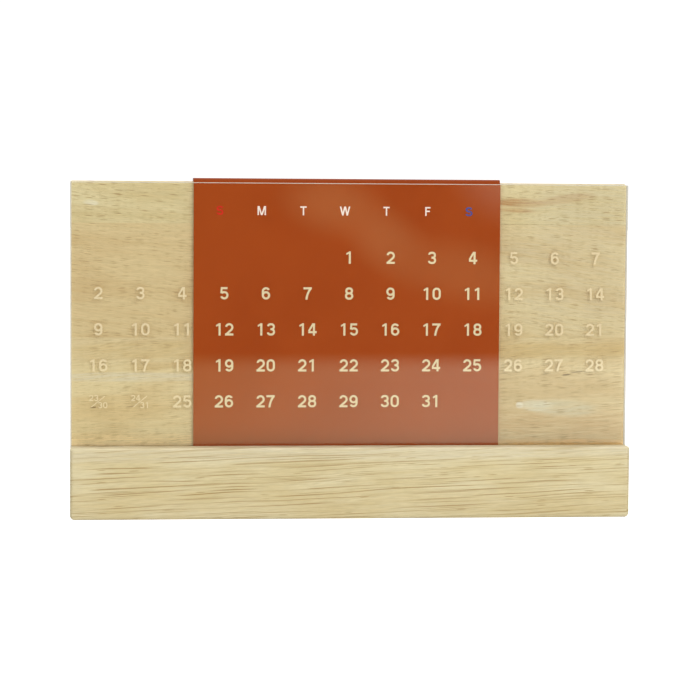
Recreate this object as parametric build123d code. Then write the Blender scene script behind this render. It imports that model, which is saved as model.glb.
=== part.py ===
from build123d import *
import math
import os

# Perpetual desk calendar, in millimetres.
# X runs along the width, the front faces -Y, +Z is up, and the origin is the middle of the
# underside of the base. A wooden base holds an upright wooden board and, in front of it, a clear
# acrylic sheet with the dates printed on its back. A sheet folded over the board's top edge slides
# in the gap between them and frames seven of the thirteen date columns.

# Wood
body_width = 150.0
front_lip = 6.0
rear_land = 9.7
groove_floor = 9.1
groove_depth = 10.0
base_edge_radius = 1.2
base_top_end_radius = 0.5
board_thickness = 6.0
board_rise = 70.6
board_edge_radius = 0.5
board_corner_radius = 0.6
bottom_strip_rise = 28.9
top_strip_height = 11.2

# Acrylic
acrylic_thickness = 2.0
acrylic_below_board = 0.3
acrylic_side_bevel = 0.35
acrylic_top_bevel = 0.15
acrylic_corner_radius = 0.5
glue_clearance = 0.2

# Sliding sheet and the spacer under its panel
sheet_thickness = 0.8
sheet_clearance = 0.15
fold_clearance = 0.1
panel_entry = 2.0
panel_floor_clearance = 0.3
flap_above_base = 3.0
slider_side_margin = 2.15
slider_rest_offset = -1.0
spacer_end_inset = 0.5

# Print
ink_thickness = 0.04
initials = "SMTWTFS"
row_count = 5
last_date = 31
date_side_margin = 2.4
date_shift = -0.55
first_row_drop = 20.15
last_row_rise = 11.83
digit_height = 3.3
small_digit_height = 1.65
slash_width = 0.24
slash_angle = 39.0
weekday_drop = 7.7
weekday_height = 2.4
weekday_shift = -0.77

# Type, in the drawing of the figures and capitals, which all stand glyph_height tall there
glyph_height = 1.0
pen = 0.17
letter_pen = 0.16
figure_width = 0.68
figure_advance = 0.82
pair_shift_x = 0.727
pair_shift_z = 0.582
slash_length = 2.85

# Sizes and places that follow
days_in_week = len(initials)
column_count = 2 * days_in_week - 1
slide_gap = sheet_thickness + 2 * sheet_clearance
groove_width = glue_clearance + acrylic_thickness + slide_gap + board_thickness
base_depth = front_lip + groove_width + rear_land
base_height = groove_floor + groove_depth
base_front = -base_depth / 2
groove_front = base_front + front_lip
acrylic_front = groove_front + glue_clearance
acrylic_back = acrylic_front + acrylic_thickness
board_front = acrylic_back + slide_gap
board_back = board_front + board_thickness
board_top = base_height + board_rise
acrylic_top = board_top - acrylic_below_board
lower_joint = base_height + bottom_strip_rise
upper_joint = board_top - top_strip_height
column_pitch = (body_width - 2 * date_side_margin) / column_count
row_pitch = (board_rise - first_row_drop - last_row_rise) / (row_count - 1)
slider_width = days_in_week * column_pitch + 2 * slider_side_margin
panel_front = acrylic_back + sheet_clearance
panel_back = panel_front + sheet_thickness
panel_bottom = base_height - panel_entry
flap_front = board_back + sheet_clearance
flap_back = flap_front + sheet_thickness
flap_bottom = base_height + flap_above_base
fold_inside = board_top + fold_clearance
fold_top = fold_inside + sheet_thickness

# How far a cutting tool runs past what it cuts
overrun = 1.0


def slab(low_y, high_y, low_z, high_z, width=body_width):
    """A box centred on X, given by its faces in Y and Z."""
    middle = (0, (low_y + high_y) / 2, (low_z + high_z) / 2)
    return Pos(*middle) * Box(width, high_y - low_y, high_z - low_z)


def rim(panel):
    """The edges round the front and back faces of an upright panel, but for those at its foot."""
    faces = panel.faces().sort_by(Axis.Y)
    foot = panel.bounding_box().min.Z + overrun
    edges = faces[0].edges() + faces[-1].edges()
    return [edge for edge in edges if edge.bounding_box().max.Z > foot]


def with_round_top_corners(panel, radius):
    return fillet(panel.edges().filter_by(Axis.Y).group_by(Axis.Z)[-1], radius)


def make_base():
    """The base block, eased on every edge, least at its top ends, with a groove along its width."""
    block = slab(base_front, -base_front, 0, base_height)
    top_ends = block.edges().filter_by(Axis.Y).group_by(Axis.Z)[-1]
    block = fillet([edge for edge in block.edges() if edge not in top_ends], base_edge_radius)
    top_ends = block.edges().filter_by(Axis.Y).group_by(Axis.Z)[-1]
    block = fillet(top_ends, base_top_end_radius)
    groove_length = body_width + 2 * overrun
    return block - slab(groove_front, board_back, groove_floor, base_height + overrun, groove_length)


def make_board():
    """The upright board, before it is divided into the strips that it is glued up from."""
    board = slab(board_front, board_back, groove_floor, board_top)
    board = with_round_top_corners(board, board_corner_radius)
    return fillet(rim(board), board_edge_radius)


def board_strip(low_z, high_z):
    return make_board() & slab(board_front, board_back, low_z, high_z)


def make_acrylic():
    """The clear sheet, bevelled down its sides and finely along its top, with round top corners."""
    sheet = slab(acrylic_front, acrylic_back, groove_floor, acrylic_top)
    sheet = chamfer(sheet.edges().filter_by(Axis.Z), acrylic_side_bevel)
    sheet = chamfer(sheet.edges().filter_by(Axis.X).group_by(Axis.Z)[-1], acrylic_top_bevel)
    return with_round_top_corners(sheet, acrylic_corner_radius)


def make_spacer():
    """The strip in the groove that holds board and acrylic apart, just under the sliding panel."""
    width = body_width - 2 * spacer_end_inset
    return slab(acrylic_back, board_front, groove_floor, panel_bottom - panel_floor_clearance, width)


def folded_block(low_y, high_y, top_z, radius, width):
    """A block whose two upper edges are rounded, as the outside or the inside of the fold."""
    block = slab(low_y, high_y, panel_bottom, top_z, width)
    return fillet(block.edges().filter_by(Axis.X).group_by(Axis.Z)[-1], radius)


def make_slider():
    """A sheet folded over the board's eased edge: a long panel in front, a shorter flap behind."""
    cut_width = slider_width + 2 * overrun
    outer_radius = board_edge_radius + sheet_thickness
    outside = folded_block(panel_front, flap_back, fold_top, outer_radius, slider_width)
    inside = folded_block(panel_back, flap_front, fold_inside, board_edge_radius, cut_width)
    under_flap = slab(panel_back, flap_back + overrun, panel_bottom, flap_bottom, cut_width)
    return Pos(slider_rest_offset, 0, 0) * (outside - inside - under_flap)


# Figures and capitals are drawn glyph_height tall round their own middle, with a pen of even
# width. Strokes that end at an edge of the glyph's box run past it, and clipping squares them off.
beyond = 0.6 * glyph_height


def bar(start, end, width=pen):
    return trace(Line(start, end), width)


def stem(x, width=pen):
    return bar((x, -beyond), (x, beyond), width)


def bow(centre, radius, start_angle, sweep):
    return trace(CenterArc(centre, radius, start_angle, sweep), pen)


def oval(width, height):
    if math.isclose(width, height):
        return Circle(width / 2)
    turn = 0 if width > height else 90
    return SlotOverall(max(width, height), min(width, height), rotation=turn)


def ring(centre_y, width, height):
    """A closed bowl whose pen runs inside the given outer width and height."""
    inner = oval(width - 2 * pen, height - 2 * pen)
    return Pos(0, centre_y) * (oval(width, height) - inner)


def clipped(strokes, width=figure_width):
    return (Sketch() + strokes) & Rectangle(width, glyph_height)


# The pen's middle line at the top, the foot and the sides of a figure, and at a capital's top
top_line = (glyph_height - pen) / 2
foot_line = -top_line
side_line = (figure_width - pen) / 2
capital_top_line = (glyph_height - letter_pen) / 2


def figure_zero():
    return ring(0, figure_width, glyph_height)


def figure_one():
    stem_x = 0.04
    flag_x = -0.25
    flag = bar((stem_x, 0.44), (flag_x, 0.27), 0.8 * pen)
    return clipped([stem(stem_x), flag], -2 * flag_x)


def figure_two():
    """A hook whose leg leaves it in a straight line for the corner at the foot."""
    hook_start = 170
    centre = Vector(0, top_line - side_line)
    corner = Vector(-side_line, foot_line)
    to_corner = corner - centre
    half_angle = math.degrees(math.acos(side_line / to_corner.length))
    leave_angle = math.degrees(math.atan2(to_corner.Y, to_corner.X)) + half_angle
    leave = centre + Vector(side_line, 0).rotate(Axis.Z, leave_angle)
    past_corner = corner + (corner - leave).normalized() * pen
    hook = bow(centre, side_line, hook_start, leave_angle - hook_start)
    return clipped([hook, bar(leave, past_corner), bar((-beyond, foot_line), (beyond, foot_line))])


def closed_side(side, centre_y, radius, shift):
    """The half turn at the right (side 1) or left (side -1) of an open bowl."""
    return bow((side * shift, centre_y), radius, -90 * side, 180)


def terminal(side, lift, centre_y, radius, shift):
    """The hooked end of an open bowl, at its top (lift 1) or foot (lift -1)."""
    hook_turn = 78
    end_y = centre_y + lift * radius
    hook = bow((side * shift, centre_y), radius, 90 * lift, -side * lift * hook_turn)
    return [hook, bar((-shift, end_y), (shift, end_y))]


def two_bowls(upper_side):
    """Two open bowls, closed at the right: a three, or an S when the upper is closed at the left."""
    upper_radius = 0.2
    upper_inset = 0.015
    waist_y = top_line - 2 * upper_radius
    lower_radius = (waist_y - foot_line) / 2
    lower_shift = side_line - lower_radius
    upper_shift = side_line - upper_radius - upper_inset
    upper_y = top_line - upper_radius
    lower_y = foot_line + lower_radius
    upper = [closed_side(upper_side, upper_y, upper_radius, upper_shift)]
    upper += terminal(-upper_side, 1, upper_y, upper_radius, upper_shift)
    lower = [closed_side(1, lower_y, lower_radius, lower_shift)]
    lower += terminal(-1, -1, lower_y, lower_radius, lower_shift)
    waist = bar((-upper_shift, waist_y), (lower_shift, waist_y))
    return clipped(upper + lower + [waist])


def figure_three():
    return two_bowls(1)


def figure_four():
    stem_x = 0.12
    bar_y = -0.22
    diagonal = bar((0.14, beyond), (-0.33, -0.19), 0.9 * pen)
    crossbar = bar((-beyond, bar_y), (beyond, bar_y))
    return clipped([stem(stem_x), crossbar, diagonal])


def figure_five():
    neck_top_x = -0.2
    neck_foot_x = -0.245
    bowl_start = 142
    bowl_turn = -302
    bowl = bow((0, foot_line + side_line), side_line, bowl_start, bowl_turn)
    neck = bar((neck_top_x, top_line + pen / 2), (neck_foot_x, 0), 0.9 * pen)
    return clipped([bowl, neck, bar((neck_foot_x, top_line), (0.26, top_line))])


def figure_six():
    crown_turn = -152
    bowl_y = foot_line + side_line
    side = bar((-side_line, bowl_y), (-side_line, -bowl_y))
    crown = bow((0, -bowl_y), side_line, 180, crown_turn)
    return clipped([ring(bowl_y, figure_width, figure_width), side, crown])


def figure_seven():
    leg = trace(ThreePointArc((0.27, 0.44), (0.02, 0), (-0.1, -beyond)), pen)
    return clipped([bar((-beyond, top_line), (beyond, top_line)), leg])


def figure_eight():
    """Two closed bowls that share the pen's width at the waist."""
    upper_height = 0.565
    upper_inset = 0.05
    lower_height = glyph_height + pen - upper_height
    upper = ring((glyph_height - upper_height) / 2, figure_width - upper_inset, upper_height)
    lower = ring((lower_height - glyph_height) / 2, figure_width, lower_height)
    return clipped([upper, lower])


def figure_nine():
    return Rot(0, 0, 180) * figure_six()


def letter_s():
    """An S that is heavier and wider than the figures."""
    return scale(two_bowls(-1), (1.15, 1, 1))


def letter_m():
    side_x = 0.39
    slants = [bar((side * 0.36, beyond), (0, -0.55), letter_pen) for side in (-1, 1)]
    return clipped([stem(-side_x, letter_pen), stem(side_x, letter_pen)] + slants, 2 * side_x + letter_pen)


def letter_t():
    arm = bar((-beyond, capital_top_line), (beyond, capital_top_line), letter_pen)
    return clipped([arm, stem(0, letter_pen)], 0.7)


def letter_w():
    half_spread = 0.5
    slants = []
    for side in (-1, 1):
        slants.append(bar((side * 0.525, beyond), (side * 0.23, -0.55), letter_pen))
        slants.append(bar((side * 0.26, -0.55), (0, beyond), letter_pen))
    return clipped(slants, 2 * half_spread + letter_pen)


def letter_f():
    stem_x = -0.21
    top_arm = bar((stem_x, capital_top_line), (0.3, capital_top_line), letter_pen)
    middle_arm = bar((stem_x, 0.02), (0.24, 0.02), letter_pen)
    return clipped([stem(stem_x, letter_pen), top_arm, middle_arm], 0.6)


figures = {
    "0": figure_zero(),
    "1": figure_one(),
    "2": figure_two(),
    "3": figure_three(),
    "4": figure_four(),
    "5": figure_five(),
    "6": figure_six(),
    "7": figure_seven(),
    "8": figure_eight(),
    "9": figure_nine(),
}
capitals = {"S": letter_s(), "M": letter_m(), "T": letter_t(), "W": letter_w(), "F": letter_f()}


def inked(outline, height, back_y):
    """An outline at its real height, as a thin upright solid whose back lies at back_y."""
    plane = Plane(origin=(0, back_y, 0), x_dir=(1, 0, 0), z_dir=(0, -1, 0))
    return extrude(plane * scale(outline, height / glyph_height), ink_thickness)


def printed_number(number, height, centre_x, centre_z):
    """A number's figures on the back of the acrylic, evenly spaced round its centre."""
    text = str(number)
    advance = figure_advance * height / glyph_height
    pieces = []
    for place, character in enumerate(text):
        x = centre_x + (place - (len(text) - 1) / 2) * advance
        solid = inked(figures[character], height, acrylic_back + ink_thickness)
        pieces.append(Pos(x, 0, centre_z) * solid)
    return pieces


def shared_cell(upper_date, lower_date, centre_x, centre_z):
    """Two small dates in one cell, either side of a slash."""
    height = small_digit_height
    reduction = height / glyph_height
    shift_x = pair_shift_x * reduction
    shift_z = pair_shift_z * reduction
    stroke = Rot(0, 0, slash_angle) * Rectangle(slash_length, slash_width / reduction)
    slash = Pos(centre_x, 0, centre_z) * inked(stroke, height, acrylic_back + ink_thickness)
    upper = printed_number(upper_date, height, centre_x - shift_x, centre_z + shift_z)
    lower = printed_number(lower_date, height, centre_x + shift_x, centre_z - shift_z)
    return upper + lower + [slash]


def make_dates():
    """Every date as a separate print, with the 1st in the top row's middle column.

    A date a week too late for the last row shares the cell above it in its column.
    """
    pieces = []
    for row in range(row_count):
        for column in range(column_count):
            date = column + 2 + days_in_week * (row - 1)
            if not 1 <= date <= last_date:
                continue
            x = date_shift + (column - (column_count - 1) / 2) * column_pitch
            z = board_top - first_row_drop - row * row_pitch
            next_week = date + days_in_week
            if row == row_count - 1 and next_week <= last_date:
                pieces += shared_cell(date, next_week, x, z)
            else:
                pieces += printed_number(date, digit_height, x, z)
    return pieces


def make_weekdays(days):
    """The initials of the given days on the front of the sliding sheet."""
    pieces = []
    for day in days:
        x = slider_rest_offset + weekday_shift + (day - (days_in_week - 1) / 2) * column_pitch
        solid = inked(capitals[initials[day]], weekday_height, panel_front)
        pieces.append(Pos(x, 0, board_top - weekday_drop) * solid)
    return pieces


def solids_of(pieces):
    return Compound(children=[solid for piece in pieces for solid in piece.solids()])


sunday = 0
saturday = days_in_week - 1
nodes = {
    "base_block": make_base(),
    "board_strip_bottom": board_strip(groove_floor, lower_joint),
    "board_strip_middle": board_strip(lower_joint, upper_joint),
    "board_strip_top": board_strip(upper_joint, board_top),
    "acrylic_cover": make_acrylic(),
    "gap_spacer": make_spacer(),
    "slider_sheet": make_slider(),
    "date_numerals": solids_of(make_dates()),
    "weekday_letters": solids_of(make_weekdays(range(sunday + 1, saturday))),
    "sunday_letter": solids_of(make_weekdays([sunday])),
    "saturday_letter": solids_of(make_weekdays([saturday])),
}

os.makedirs("parts", exist_ok=True)
for name, solid in nodes.items():
    export_step(solid, f"parts/{name}.step")

# The sliding sheet's travel from rest, until either edge is flush with the end of the board
free_width = (body_width - slider_width) / 2
print("slide travel", -free_width - slider_rest_offset, free_width - slider_rest_offset)
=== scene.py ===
import math

import bpy
from mathutils import Matrix, Vector


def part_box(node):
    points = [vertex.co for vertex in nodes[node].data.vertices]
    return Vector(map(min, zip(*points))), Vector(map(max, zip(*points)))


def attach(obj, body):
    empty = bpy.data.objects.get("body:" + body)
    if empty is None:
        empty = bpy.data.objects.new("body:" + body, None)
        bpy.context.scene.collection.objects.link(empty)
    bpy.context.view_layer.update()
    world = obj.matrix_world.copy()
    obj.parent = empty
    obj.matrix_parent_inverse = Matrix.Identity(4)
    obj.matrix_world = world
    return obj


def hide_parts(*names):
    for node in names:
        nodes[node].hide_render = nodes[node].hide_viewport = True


# A perpetual desk calendar in rubberwood, acrylic and a folded plastic sheet.
# Everything is in metres, in the part's own frame: X along the width, -Y to the reader, Z up.
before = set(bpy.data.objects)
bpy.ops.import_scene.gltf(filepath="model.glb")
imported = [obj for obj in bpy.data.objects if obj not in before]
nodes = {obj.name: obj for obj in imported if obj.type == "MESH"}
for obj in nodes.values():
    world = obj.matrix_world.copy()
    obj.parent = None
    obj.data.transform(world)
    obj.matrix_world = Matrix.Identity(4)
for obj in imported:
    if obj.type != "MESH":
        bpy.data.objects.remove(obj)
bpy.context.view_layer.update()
mm = 0.001

base_low, base_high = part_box("base_block")
top_strip_low, top_strip_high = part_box("board_strip_top")
base_front = base_low.y
base_top = base_high.z
board_front = top_strip_low.y
board_top = top_strip_high.z
acrylic_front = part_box("acrylic_cover")[0].y

# Heights in mm, the joint's above the base and the edge's above the table
upper_joint_height = (top_strip_low.z - base_top) / mm
base_edge_height = base_top / mm


def on_board(x, height):
    """A point of the board's face, in mm, by its height above the base."""
    return (x, board_front / mm, base_top / mm + height)


def on_base(x, height):
    """A point of the base's face, in mm, by its height above the table."""
    return (x, base_front / mm, height)


def linear(hex_colour):
    """Turns an sRGB hex colour to the linear values that the shaders take."""
    channels = [int(hex_colour[i : i + 2], 16) / 255 for i in (1, 3, 5)]
    decoded = [c / 12.92 if c <= 0.04045 else ((c + 0.055) / 1.055) ** 2.4 for c in channels]
    return (*decoded, 1.0)


def new_material(name):
    """A material with an empty node tree."""
    material = bpy.data.materials.new(name)
    material.use_nodes = True
    material.node_tree.nodes.clear()
    return material, material.node_tree


def put(tree, kind, sockets, **settings):
    """Adds a node with its settings and links to a tree, and gives its outputs back.

    A socket goes by its name, or by its number on nodes that have several of one name: on Mix,
    6 and 7 are its two colours, and output 2 is the mixed one.
    """
    node = tree.nodes.new("ShaderNode" + kind)
    for name, value in settings.items():
        setattr(node, name, value)
    for key, value in sockets.items():
        if isinstance(value, bpy.types.NodeSocket):
            tree.links.new(value, node.inputs[key])
        else:
            node.inputs[key].default_value = value
    return node.outputs


def one_in(size):
    """The scale at which one unit of a pattern is as big as the given size along each axis."""
    return [1 / length for length in size]


def lumps(tree, place, size, detail=2.0, roughness=0.5):
    """Soft noise whose lumps have about the given size along each axis."""
    scaled = put(tree, "Mapping", {"Vector": place, "Scale": one_in(size)})["Vector"]
    sockets = {"Vector": scaled, "Scale": 1.0, "Detail": detail, "Roughness": roughness}
    return put(tree, "TexNoise", sockets)[0]


def tinted(tree, colour, tint, value, low, high, strength=1.0):
    """A colour that takes on a tint, up to a strength, as a value goes from low to high."""
    sockets = {"Value": value, "From Min": low, "From Max": high, "To Min": 0.0, "To Max": strength}
    share = put(tree, "MapRange", sockets, interpolation_type="SMOOTHSTEP")[0]
    return put(tree, "Mix", {"Factor": share, 6: colour, 7: tint}, data_type="RGBA")[2]


def shaded(tree, colour, value, low, high, at_low, at_high):
    """A colour times a shade, which goes from at_low to at_high as a value goes from low to high."""
    sockets = {"Value": value, "From Min": low, "From Max": high, "To Min": at_low, "To Max": at_high}
    shade = put(tree, "MapRange", sockets, interpolation_type="SMOOTHSTEP")[0]
    both = {"Factor": 1.0, 6: colour, 7: shade}
    return put(tree, "Mix", both, data_type="RGBA", blend_type="MULTIPLY")[2]


def patch(tree, place, centre, reach, tilt=0.0, core=0.5):
    """One in the core of an ellipsoid round a centre, fading to nought at its surface.

    Its reach is the half size along each of its axes, and a tilt in degrees lifts its right end.
    """
    turn = (0, math.radians(-tilt), 0)
    ellipsoid = {"Vector": place, "Location": centre, "Rotation": turn, "Scale": reach}
    from_centre = put(tree, "Mapping", ellipsoid, vector_type="TEXTURE")["Vector"]
    distance = put(tree, "VectorMath", {0: from_centre}, operation="LENGTH")["Value"]
    fade = {"Value": distance, "From Min": core, "From Max": 1.0, "To Min": 1.0, "To Max": 0.0}
    return put(tree, "MapRange", fade, interpolation_type="SMOOTHSTEP")[0]


# Sizes of the wood's patterns in mm, along the grain, into the piece and up its face. Single
# fibres are too fine to show, so a fibre here is a bundle of about ten.
wander_size = (60, 30, 22)
cloud_size = (34, 12, 7)
growth_size = (120, 3.0, 1.5)
fibre_size = (3.4, 0.3, 0.24)
streak_size = (9, 0.6, 0.45)
crowding_size = (26, 6, 4)

# How far in mm the grain may wander into the piece, and the value that noise swings about
wander_depth = 3
noise_mean = (0.5, 0.5, 0.5)

# Growth layers in mm, and how many layers they swell up and down
layer_height = 1.2
layer_swell = 3.5
swell_size = (90, 9, 7)
line_break_size = (24, 4, 1.3)

# An open vessel's cell is this many times as long and thick as the vessel, and this deep in mm
cell_room = 1.45
cell_depth = 0.9


def wandering_grain(tree, in_mm, slope, start, waviness):
    """Coordinates in mm that run with the grain, which wanders by a millimetre or two."""
    turn = (0, math.radians(slope), 0)
    cut = {"Vector": in_mm, "Rotation": turn, "Location": (start, 0, 0)}
    along = put(tree, "Mapping", cut)["Vector"]
    wander = lumps(tree, along, wander_size)
    swing = put(tree, "VectorMath", {0: wander, 1: noise_mean}, operation="SUBTRACT")[0]
    reach = (0, wander_depth, waviness)
    drift = put(tree, "VectorMath", {0: swing, 1: reach}, operation="MULTIPLY")[0]
    return put(tree, "VectorMath", {0: along, 1: drift}, operation="ADD")[0]


def clouded_wood(tree, grain, colours):
    """Pale wood with warmer clouds and the faint bands of its growth."""
    pale, mid, deep = [linear(hex_colour) for hex_colour in colours]
    clouds = lumps(tree, grain, cloud_size, detail=3.0, roughness=0.55)
    growth = lumps(tree, grain, growth_size, detail=3.0, roughness=0.6)
    colour = tinted(tree, mid, pale, clouds, low=0.36, high=0.62)
    return tinted(tree, colour, deep, growth, low=0.5, high=0.72, strength=0.22)


def marked(tree, in_mm, grain, colour, marks):
    """The wood with the marks of this one piece and with painted light and shade, all following its
    fibres, so they are streaky.
    """
    fine = lumps(tree, grain, streak_size)
    streak_range = {"Value": fine, "From Min": 0.34, "From Max": 0.64, "To Min": 0.46, "To Max": 1.0}
    streaks = put(tree, "MapRange", streak_range, interpolation_type="SMOOTHSTEP")[0]
    for hex_colour, strength, centre, reach, tilt in marks:
        spot = patch(tree, in_mm, centre, reach, tilt)
        streaky = put(tree, "Math", {0: spot, 1: streaks}, operation="MULTIPLY")[0]
        stain_and_painted_light = put(tree, "Math", {0: streaky, 1: strength}, operation="MULTIPLY")[0]
        stained_and_painted_light = {"Factor": stain_and_painted_light, 6: colour, 7: linear(hex_colour)}
        colour = put(tree, "Mix", stained_and_painted_light, data_type="RGBA")[2]
    return colour


def grain_lines(tree, grain, depth):
    """Thin brown lines along the grain, where the cut runs level with a growth layer."""
    height = put(tree, "SeparateXYZ", {0: grain})["Z"]
    level = put(tree, "Math", {0: height, 1: layer_height}, operation="DIVIDE")[0]
    uneven = lumps(tree, grain, swell_size)
    swell = put(tree, "Math", {0: uneven, 1: layer_swell}, operation="MULTIPLY")[0]
    layers = put(tree, "Math", {0: level, 1: swell}, operation="ADD")[0]
    off_line = put(tree, "Math", {0: layers, 1: 0.5}, operation="PINGPONG")[0]
    line_range = {"Value": off_line, "From Min": 0.05, "From Max": 0.15, "To Min": 1.0, "To Max": 0.0}
    lines = put(tree, "MapRange", line_range, interpolation_type="SMOOTHSTEP")[0]
    breaks = lumps(tree, grain, line_break_size)
    kept_range = {"Value": breaks, "From Min": 0.44, "From Max": 0.6, "To Min": 0.0, "To Max": depth}
    kept = put(tree, "MapRange", kept_range, interpolation_type="SMOOTHSTEP")[0]
    return put(tree, "Math", {0: lines, 1: kept}, operation="MULTIPLY")[0]


def vessel_dashes(tree, grain, length, thickness, share, depth):
    """Vessels of one size that the saw and the sander cut open.

    Each cell of the pattern may hold one, a share of the cells does, and its colour deepens
    with the luck of the cut.
    """
    cell = (cell_room * length, cell_depth, cell_room * thickness)
    scaled = put(tree, "Mapping", {"Vector": grain, "Scale": one_in(cell)})["Vector"]
    cells = put(tree, "TexVoronoi", {"Vector": scaled, "Scale": 1.0})
    luck = put(tree, "SeparateColor", {"Color": cells["Color"]})["Red"]
    off_middle = cells["Distance"]
    dash_range = {"Value": off_middle, "From Min": 0.2, "From Max": 0.42, "To Min": 1.0, "To Max": 0.0}
    dash = put(tree, "MapRange", dash_range, interpolation_type="SMOOTHSTEP")[0]
    luck_range = {
        "Value": luck,
        "From Min": 1 - share,
        "From Max": 1 - share / 3,
        "To Min": 0.0,
        "To Max": depth,
    }
    colouring = put(tree, "MapRange", luck_range, interpolation_type="SMOOTHSTEP")[0]
    return put(tree, "Math", {0: dash, 1: colouring}, operation="MULTIPLY")[0]


def vessel_crowding(tree, in_mm, grain, crowds):
    """How thick the vessels lie, in loose clouds and in the places that this one piece has."""
    clouds = lumps(tree, grain, crowding_size)
    loose_range = {"Value": clouds, "From Min": 0.32, "From Max": 0.6, "To Min": 0.62, "To Max": 1.0}
    crowding = put(tree, "MapRange", loose_range, interpolation_type="SMOOTHSTEP")[0]
    for gain, centre, reach in crowds:
        near = patch(tree, in_mm, centre, reach)
        gain_range = {"Value": near, "From Min": 0.0, "From Max": 1.0, "To Min": 1.0, "To Max": gain}
        crowd = put(tree, "MapRange", gain_range, interpolation_type="SMOOTHSTEP")[0]
        crowding = put(tree, "Math", {0: crowding, 1: crowd}, operation="MULTIPLY")[0]
    return crowding


def rubberwood(
    name,
    colours,
    slope,
    start,
    vessels,
    line_depth=0.0,
    waviness=5.0,
    hollow="#94723F",
    marks=(),
    crowds=(),
):
    """Rubberwood, sawn, sanded and matt lacquered.

    To the eye it is pale straw, clouded softly with warmer tan, and flecked all over with fine
    brown dashes, which are its open vessels cut lengthwise. The grain climbs to the right at a
    slope in degrees, and the start in mm is where along the grain this piece was cut.
    """
    material, tree = new_material(name)
    place = put(tree, "TexCoord", {})["Object"]
    in_mm = put(tree, "Mapping", {"Vector": place, "Scale": (1 / mm, 1 / mm, 1 / mm)})["Vector"]
    grain = wandering_grain(tree, in_mm, slope, start, waviness)
    fibres = lumps(tree, grain, fibre_size, roughness=0.6)
    colour = clouded_wood(tree, grain, colours)
    colour = marked(tree, in_mm, grain, colour, marks)
    colour = shaded(tree, colour, fibres, low=0.3, high=0.7, at_low=0.93, at_high=1.055)

    opened = grain_lines(tree, grain, line_depth)
    for vessel in vessels:
        dashes = vessel_dashes(tree, grain, *vessel)
        opened = put(tree, "Math", {0: dashes, 1: opened}, operation="MAXIMUM")[0]
    crowding = vessel_crowding(tree, in_mm, grain, crowds)
    opened = put(tree, "Math", {0: opened, 1: crowding}, operation="MULTIPLY")[0]
    colour = put(tree, "Mix", {"Factor": opened, 6: colour, 7: linear(hollow)}, data_type="RGBA")[2]

    # The sawn ends drink more lacquer than the faces and dry darker
    facing = put(tree, "NewGeometry", {})["Normal"]
    sideways = put(tree, "SeparateXYZ", {0: facing})["X"]
    sawn_end = put(tree, "Math", {0: sideways}, operation="ABSOLUTE")[0]
    colour = shaded(tree, colour, sawn_end, low=0.3, high=0.9, at_low=1.0, at_high=0.8)

    # Sanded wood is rough, and its vessels stay as fine open scratches under the lacquer
    raised = put(tree, "Math", {0: fibres, 1: 0.35}, operation="MULTIPLY")[0]
    relief = put(tree, "Math", {0: raised, 1: opened}, operation="SUBTRACT")[0]
    bump = put(tree, "Bump", {"Strength": 0.3, "Distance": 0.05 * mm, "Height": relief})["Normal"]
    rough_range = {"Value": fibres, "From Min": 0.3, "From Max": 0.7, "To Min": 0.62, "To Max": 0.5}
    roughness = put(tree, "MapRange", rough_range, interpolation_type="SMOOTHSTEP")[0]
    lacquered = {
        "Base Color": colour,
        "Roughness": roughness,
        "IOR": 1.5,
        "Specular IOR Level": 0.25,
        "Normal": bump,
    }
    surface = put(tree, "BsdfPrincipled", lacquered)["BSDF"]
    put(tree, "OutputMaterial", {"Surface": surface})
    return material


def clear_to_lamps(tree, look):
    """The acrylic's look, but with the light that falls through it let straight on."""
    rays = put(tree, "LightPath", {})
    lamp_rays = {0: rays["Is Shadow Ray"], 1: rays["Is Diffuse Ray"]}
    falling = put(tree, "Math", lamp_rays, operation="MAXIMUM")[0]
    passing = put(tree, "BsdfTransparent", {"Color": linear("#F7F7F7")})["BSDF"]
    return put(tree, "MixShader", {0: falling, 1: look, 2: passing})["Shader"]


def cast_acrylic():
    """Clear cast acrylic, 2 mm, its faces as cast and its edges flame polished.

    To the eye it is glass clear, with a faint mirror image on its face and pale bright edges.
    """
    material, tree = new_material("cast_acrylic_polished")
    clear = {
        "Base Color": linear("#FDFEFC"),
        "Roughness": 0.01,
        "IOR": 1.49,
        "Transmission Weight": 1.0,
    }
    look = put(tree, "BsdfPrincipled", clear)["BSDF"]
    put(tree, "OutputMaterial", {"Surface": clear_to_lamps(tree, look)})
    return material


def polished_edge_painted_glint():
    """The acrylic's cut and bevelled edges, flame polished.

    To the eye they are a pale bright line, because an edge gathers the light inside the sheet.
    Here that line is a painted highlight, a pale and nearly opaque colour.
    """
    material, tree = new_material("cast_acrylic_bright_edge")
    # A painted highlight: the edge's glow as a pale colour
    pale = {
        "Base Color": linear("#C4BFB3"),
        "Roughness": 0.35,
        "IOR": 1.49,
        "Specular IOR Level": 0.2,
        "Alpha": 0.82,
    }
    look = put(tree, "BsdfPrincipled", pale)["BSDF"]
    put(tree, "OutputMaterial", {"Surface": clear_to_lamps(tree, look)})
    return material


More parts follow.
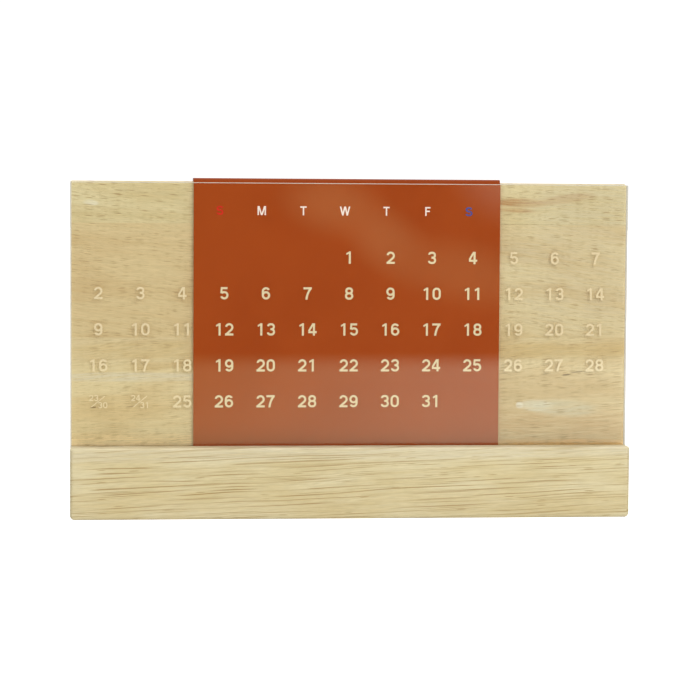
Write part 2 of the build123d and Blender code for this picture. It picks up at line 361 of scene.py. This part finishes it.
def calendered_sheet():
    """Polypropylene sheet in red-brown, calendered to a satin face and folded hot.

    To the eye it is one deep even colour with a very fine leathery grain and a dull sheen.
    Its top, over the fold, is darkened by painted shade.
    """
    pebble_size = (0.35 * mm, 0.35 * mm, 0.35 * mm)
    cloud_across = (22 * mm, 22 * mm, 22 * mm)
    painted_shade_start = board_top - 1.0 * mm
    painted_shade_top = board_top + 0.3 * mm
    material, tree = new_material("polypropylene_sheet_satin")
    place = put(tree, "TexCoord", {})["Object"]
    height = put(tree, "SeparateXYZ", {0: place})["Z"]
    pebbles = lumps(tree, place, pebble_size, detail=3.0)
    clouds = lumps(tree, place, cloud_across)
    colour = tinted(tree, linear("#9C3F08"), linear("#A1430C"), clouds, low=0.3, high=0.7)
    colour = shaded(tree, colour, pebbles, low=0.3, high=0.7, at_low=0.97, at_high=1.03)
    # Painted shade: darker towards the top, over the fold
    colour = shaded(tree, colour, height, painted_shade_start, painted_shade_top, at_low=1.0, at_high=0.72)
    bump = put(tree, "Bump", {"Strength": 0.15, "Distance": 0.02 * mm, "Height": pebbles})["Normal"]
    satin = {
        "Base Color": colour,
        "Roughness": 0.42,
        "IOR": 1.49,
        "Specular IOR Level": 0.12,
        "Normal": bump,
    }
    surface = put(tree, "BsdfPrincipled", satin)["BSDF"]
    put(tree, "OutputMaterial", {"Surface": surface})
    return material


def screen_ink(name, hex_colour):
    """Screen-printed ink, opaque and matt.

    To the eye it is a flat film with a faint mesh mark, slightly uneven in cover.
    """
    mesh_size = (0.18 * mm, 0.18 * mm, 0.18 * mm)
    material, tree = new_material(name)
    place = put(tree, "TexCoord", {})["Object"]
    cover = lumps(tree, place, mesh_size)
    flat = linear(hex_colour)
    colour = shaded(tree, flat, cover, low=0.3, high=0.7, at_low=0.95, at_high=1.02)
    film = {"Base Color": colour, "Roughness": 0.55, "Specular IOR Level": 0.25}
    surface = put(tree, "BsdfPrincipled", film)["BSDF"]
    put(tree, "OutputMaterial", {"Surface": surface})
    return material


# Open vessels of each piece: length and thickness in mm, share of the cells and depth of colour
board_vessels = [(2.4, 0.22, 0.55, 0.54), (1.2, 0.16, 0.45, 0.4)]
deep_vessels = [(2.6, 0.21, 0.55, 0.68), (1.2, 0.16, 0.55, 0.42)]
faint_vessels = [(2.7, 0.2, 0.5, 0.5), (1.3, 0.16, 0.5, 0.36)]
base_vessels = [(60.0, 0.17, 0.55, 0.72), (20.0, 0.17, 0.42, 0.78), (3.0, 0.18, 0.08, 0.8)]

# A mark is a colour, its strength, its middle and reach in mm and its tilt in degrees. A crowd
# is a gain on the vessels' depth, its middle and its reach.
top_strip_wood = rubberwood(
    "rubberwood_top_strip",
    colours=("#D6C79A", "#CDBA8A", "#BC9C68"),
    slope=-3.0,
    start=40.0,
    vessels=deep_vessels,
    marks=[
        ("#AC7A42", 0.85, on_board(46, 65.3), (10, 3, 1.5), -1.0),
        ("#B0824B", 0.75, on_board(58.5, 66.5), (9.5, 3, 1.6), 8.0),
        ("#B0824B", 0.7, on_board(44.5, 63.3), (7.5, 3, 0.8), -2.0),
        ("#E2DABF", 0.7, on_board(-69.5, 64.8), (2.6, 3, 0.9), -6.0),
        ("#8F6D40", 0.3, on_board(30, upper_joint_height), (120, 3, 0.35), 0.0),
        # Painted reflection: the right end paler and greyer, as the acrylic's sheen
        ("#CFC4A4", 0.5, on_board(66, 64), (24, 3, 12), 0.0),
    ],
)
middle_strip_wood = rubberwood(
    "rubberwood_middle_strip",
    colours=("#D5C192", "#CBB282", "#C0A069"),
    slope=-6.0,
    start=150.0,
    vessels=board_vessels,
    marks=[
        # Painted reflection: the right side paler and greyer, as the acrylic's sheen
        ("#D0C3A2", 0.5, on_board(62, 46), (32, 3, 24), 0.0),
        ("#C2A273", 0.3, on_board(-60, 44), (32, 3, 34), 0.0),
    ],
)
bottom_strip_wood = rubberwood(
    "rubberwood_bottom_strip",
    colours=("#D5C296", "#CAB182", "#BE9E68"),
    slope=3.0,
    start=320.0,
    vessels=faint_vessels,
    marks=[
        ("#C9AC72", 0.5, on_board(0, 25.5), (120, 3, 3.6), 0.0),
        ("#D0C3A6", 0.8, on_board(-60, 18.3), (36, 3, 1.6), 0.0),
        ("#B79A6A", 0.5, on_board(58, 10), (36, 3, 13), 0.0),
        ("#BA9260", 0.5, on_board(58, 4.0), (36, 3, 8.0), 0.0),
        # Painted light on the board's foot, lifting the shade that the base's lip casts there
        ("#F0D6A0", 0.14, on_board(-60, 7.0), (60, 3, 8), 0.0),
        ("#F0D29C", 0.8, on_board(-60, -1.0), (60, 3, 5), 0.0),
        ("#F0B050", 0.42, on_board(58, -1.0), (36, 3, 3.0), 0.0),
        ("#C4B99A", 0.8, on_board(58.0, 9.8), (12, 3, 3.0), -3.0),
        ("#D2CAB0", 0.8, on_board(50.8, 10.5), (5.6, 3, 2.1), -3.0),
        ("#DDD6C4", 0.8, on_board(46.2, 10.6), (1.3, 3, 1.2), 0.0),
        # Painted shadow: a thin dark line where the acrylic goes down into the groove
        ("#5E4526", 0.5, on_board(-24, -0.2), (100, 3, 0.26), 0.0),
        ("#6B4A26", 0.9, on_board(58.9, 18.8), (1.6, 3, 0.32), 8.0),
        ("#6B4A26", 1.0, on_board(62.0, 19.6), (2.4, 3, 0.28), 6.0),
        ("#6E5230", 0.8, on_board(-68.8, 10.2), (1.0, 3, 0.3), 8.0),
        ("#6E5230", 0.6, on_board(-59.0, 10.4), (1.6, 3, 0.25), 6.0),
    ],
    crowds=[(1.75, on_board(58, 11), (34, 3, 17))],
)
base_wood = rubberwood(
    "rubberwood_base",
    colours=("#C9BD98", "#C2B389", "#AE9760"),
    slope=2.4,
    start=610.0,
    vessels=base_vessels,
    line_depth=0.75,
    waviness=2.5,
    hollow="#8C6E38",
    marks=[
        ("#C4BA9E", 0.6, on_base(0, 17.6), (160, 4, 2.6), 0.5),
        # Painted light on the top front edge and the top behind it, as from overhead
        ("#E6DAB8", 0.5, on_base(0, base_edge_height), (160, 9, 0.6), 0.0),
        ("#BBA777", 0.4, on_base(0, 4.6), (160, 4, 4.0), 0.0),
        # Painted shade along the bottom edge, where it meets the table
        ("#94876E", 0.15, on_base(0, 0.0), (160, 4, 0.5), 0.0),
    ],
    crowds=[(0.6, on_base(0, base_edge_height), (160, 9, 3.0))],
)
# The spacer has plain wood of the board's kind, for it sits in the groove and hardly shows
spacer_wood = rubberwood(
    "rubberwood_raw_spacer",
    colours=("#D5C192", "#CBB282", "#BB9A64"),
    slope=0.0,
    start=800.0,
    vessels=board_vessels,
)
ivory_ink = screen_ink("screen_ink_ivory", "#E3CFA6")

finishes = {
    "base_block": base_wood,
    "board_strip_top": top_strip_wood,
    "board_strip_middle": middle_strip_wood,
    "board_strip_bottom": bottom_strip_wood,
    "gap_spacer": spacer_wood,
    "acrylic_cover": cast_acrylic(),
    "slider_sheet": calendered_sheet(),
    "weekday_letters": screen_ink("screen_ink_white", "#F2E0D4"),
    "sunday_letter": screen_ink("screen_ink_red", "#CE1E04"),
    "saturday_letter": screen_ink("screen_ink_blue", "#424C94"),
}


def dress(node_name, material):
    """Gives a piece of the part its finish."""
    for slot in nodes[node_name].material_slots:
        slot.material = material


def brighten_edges(edge):
    """Gives all but the acrylic's two broad faces the painted highlight of its polished edge."""
    flat_on = 0.99
    mesh = nodes["acrylic_cover"].data
    mesh.materials.append(edge)
    for face in mesh.polygons:
        if abs(face.normal.y) < flat_on:
            face.material_index = len(mesh.materials) - 1


def print_dates():
    """The ivory dates, a hair behind the acrylic so that the two faces don't share a plane."""
    hair = 0.01 * mm
    mesh = nodes["date_numerals"].data.copy()
    mesh.transform(Matrix.Translation((0, hair, 0)))
    mesh.materials.clear()
    mesh.materials.append(ivory_ink)
    dates = bpy.data.objects.new("date_print", mesh)
    bpy.context.scene.collection.objects.link(dates)
    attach(dates, "stand")
    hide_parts("date_numerals")


for piece_name, finish in finishes.items():
    dress(piece_name, finish)
brighten_edges(polished_edge_painted_glint())
print_dates()


# Studio in metres: how far the table goes in front of the calendar, and half its width
table_reach = 0.744
table_half_width = 1.2


def stage_sheet(name, first_corner, last_corner, material):
    """A flat oblong of the studio, between its left front or lower corner and the opposite one."""
    left, front, bottom = first_corner
    right, back, top = last_corner
    corners = [(left, front, bottom), (right, front, bottom), (right, back, top), (left, back, top)]
    mesh = bpy.data.meshes.new(name)
    mesh.from_pydata(corners, [], [(0, 1, 2, 3)])
    mesh.materials.append(material)
    sheet = bpy.data.objects.new(name, mesh)
    bpy.context.scene.collection.objects.link(sheet)
    return sheet


def seen_in_gloss_only(sheet):
    """Leaves a sheet of the studio only its mirror image in glossy things."""
    sheet.visible_camera = False
    sheet.visible_diffuse = False
    sheet.visible_shadow = False


def table_top():
    """A white table lit from below, as product tables are, and dimmer to all but the camera."""
    glow_unseen = 0.44
    material, tree = new_material("opal_table_lit")
    seen = put(tree, "LightPath", {})["Is Camera Ray"]
    glow = put(tree, "Math", {0: seen, 1: glow_unseen}, operation="MAXIMUM")[0]
    lit = {
        "Base Color": linear("#CDCDCC"),
        "Roughness": 0.9,
        "Emission Color": linear("#FFFFFF"),
        "Emission Strength": glow,
    }
    surface = put(tree, "BsdfPrincipled", lit)["BSDF"]
    put(tree, "OutputMaterial", {"Surface": surface})
    reach = 6.0
    height = -0.05 * mm
    stage_sheet("floor", (-reach, -reach, height), (reach, reach, height), material)


def mirrored_table():
    """The bright table top in front, as the acrylic's face mirrors it, fading at its far edge."""
    turn = math.radians(-7)
    dim_side, bright_side = -0.146, 0.134
    far_glow, near_glow = 1.62, 1.85
    glow_start, glow_end = -0.5, -0.2
    fade_end = -0.558
    near_edge = -0.03
    height = 0.2 * mm
    material, tree = new_material("table_glow")
    place = put(tree, "TexCoord", {})["Object"]
    turned = put(tree, "Mapping", {"Vector": place, "Rotation": (0, 0, turn)})["Vector"]
    rightward = put(tree, "SeparateXYZ", {0: turned})["X"]
    toward_calendar = put(tree, "SeparateXYZ", {0: place})["Y"]
    colour = tinted(tree, linear("#A6A46E"), linear("#FBFFE4"), rightward, dim_side, bright_side)
    glow_range = {
        "Value": toward_calendar,
        "From Min": glow_start,
        "From Max": glow_end,
        "To Min": far_glow,
        "To Max": near_glow,
    }
    glow = put(tree, "MapRange", glow_range, interpolation_type="SMOOTHSTEP")[0]
    fade_range = {"Value": toward_calendar, "From Min": -table_reach, "From Max": fade_end}
    fade = put(tree, "MapRange", fade_range, interpolation_type="SMOOTHSTEP")[0]
    strength = put(tree, "Math", {0: glow, 1: fade}, operation="MULTIPLY")[0]
    surface = put(tree, "Emission", {"Color": colour, "Strength": strength})["Emission"]
    put(tree, "OutputMaterial", {"Surface": surface})
    front_left = (-table_half_width, -table_reach, height)
    back_right = (table_half_width, near_edge, height)
    seen_in_gloss_only(stage_sheet("mirrored_table", front_left, back_right, material))


def dark_room():
    """The dim room beyond the table as the acrylic mirrors it, with pale folds of painted
    reflection in it that sweep down to the right.
    """
    depth = -table_reach / mm
    soft_core = 0.15
    # Each fold of the painted reflection is a colour, its middle and reach in mm and its tilt in
    # degrees
    reflected_folds = [
        ("#C8C389", (62.4, depth, 81.7), (22.8, 50, 39.1), 78.0),
        ("#CCC68C", (92.9, depth, 61), (37, 50, 21.7), -36.0),
        ("#B8B27C", (136.3, depth, 43.6), (63, 50, 23.9), -12.0),
        ("#E2E8D0", (164.6, depth, 101.2), (43.5, 50, 37), 0.0),
    ]
    room_height = 1.5
    material, tree = new_material("dim_room")
    place = put(tree, "TexCoord", {})["Object"]
    in_mm = put(tree, "Mapping", {"Vector": place, "Scale": (1 / mm, 1 / mm, 1 / mm)})["Vector"]
    colour = linear("#1E1E1E")
    for hex_colour, centre, reach, tilt in reflected_folds:
        pale = patch(tree, in_mm, centre, reach, tilt, core=soft_core)
        lighter = {"Factor": pale, 6: colour, 7: linear(hex_colour)}
        colour = put(tree, "Mix", lighter, data_type="RGBA")[2]
    surface = put(tree, "Emission", {"Color": colour, "Strength": 1.0})["Emission"]
    put(tree, "OutputMaterial", {"Surface": surface})
    bottom_left = (-table_half_width, -table_reach, 0)
    top_right = (table_half_width, -table_reach, room_height)
    seen_in_gloss_only(stage_sheet("dark_room", bottom_left, top_right, material))


def white_studio(backdrop, through_acrylic, level, overhead):
    """Even white light from all round, more from overhead, and a backdrop lit to pure white."""
    world = bpy.data.worlds.new("white_studio")
    world.use_nodes = True
    tree = world.node_tree
    tree.nodes.clear()
    direction = put(tree, "TexCoord", {})["Generated"]
    lift = put(tree, "SeparateXYZ", {0: direction})["Z"]
    glow_range = {"Value": lift, "To Min": level, "To Max": overhead}
    glow = put(tree, "MapRange", glow_range, interpolation_type="SMOOTHSTEP")[0]
    rays = put(tree, "LightPath", {})
    seen_ray = rays["Is Camera Ray"]
    acrylic_ray = rays["Is Transmission Ray"]
    seen = put(tree, "Math", {0: seen_ray, 1: backdrop}, operation="MULTIPLY")[0]
    through = put(tree, "Math", {0: acrylic_ray, 1: through_acrylic}, operation="MULTIPLY")[0]
    behind = put(tree, "Math", {0: seen, 1: through}, operation="MAXIMUM")[0]
    strength = put(tree, "Math", {0: glow, 1: behind}, operation="MAXIMUM")[0]
    light = put(tree, "Background", {"Color": linear("#FFFFFF"), "Strength": strength})
    put(tree, "OutputWorld", {"Surface": light["Background"]})
    bpy.context.scene.world = world


def softbox(name, place, target, size, power):
    """A square lamp that lights the calendar but isn't mirrored in it."""
    light = bpy.data.lights.new(name, "AREA")
    light.shape = "SQUARE"
    light.size = size
    light.energy = power
    lamp = bpy.data.objects.new(name, light)
    lamp.location = place
    lamp.rotation_euler = (Vector(target) - Vector(place)).to_track_quat("-Z", "Y").to_euler()
    lamp.visible_glossy = False
    lamp.visible_transmission = False
    bpy.context.scene.collection.objects.link(lamp)


def product_camera():
    """A long lens a little to the left and above, that looks slightly down and rolls a touch."""
    distance = 0.690
    yaw = math.radians(5.62)
    pitch = math.radians(3.42)
    roll = math.radians(0.355)
    target = Vector((-0.35 * mm, acrylic_front, 44.8 * mm))
    ahead = (math.sin(yaw) * math.cos(pitch), math.cos(yaw) * math.cos(pitch), -math.sin(pitch))
    forward = Vector(ahead)
    level = forward.cross(Vector((0, 0, 1))).normalized()
    upright = level.cross(forward)
    right = level * math.cos(roll) + upright * math.sin(roll)
    up = upright * math.cos(roll) - level * math.sin(roll)
    lens = bpy.data.cameras.new("product_camera")
    lens.sensor_width = 36.0
    lens.lens = 132.3
    camera = bpy.data.objects.new("product_camera", lens)
    turn = Matrix((right, up, -forward)).transposed()
    camera.matrix_world = Matrix.Translation(target - forward * distance) @ turn.to_4x4()
    bpy.context.scene.collection.objects.link(camera)
    bpy.context.scene.camera = camera


table_top()
mirrored_table()
dark_room()
white_studio(backdrop=1.1, through_acrylic=0.72, level=0.545, overhead=1.4)
softbox("right_softbox", place=(0.5, -1.2, 0.7), target=(0, 0, 0.05), size=0.8, power=6.9)
product_camera()
bpy.context.scene.view_settings.view_transform = "Standard"
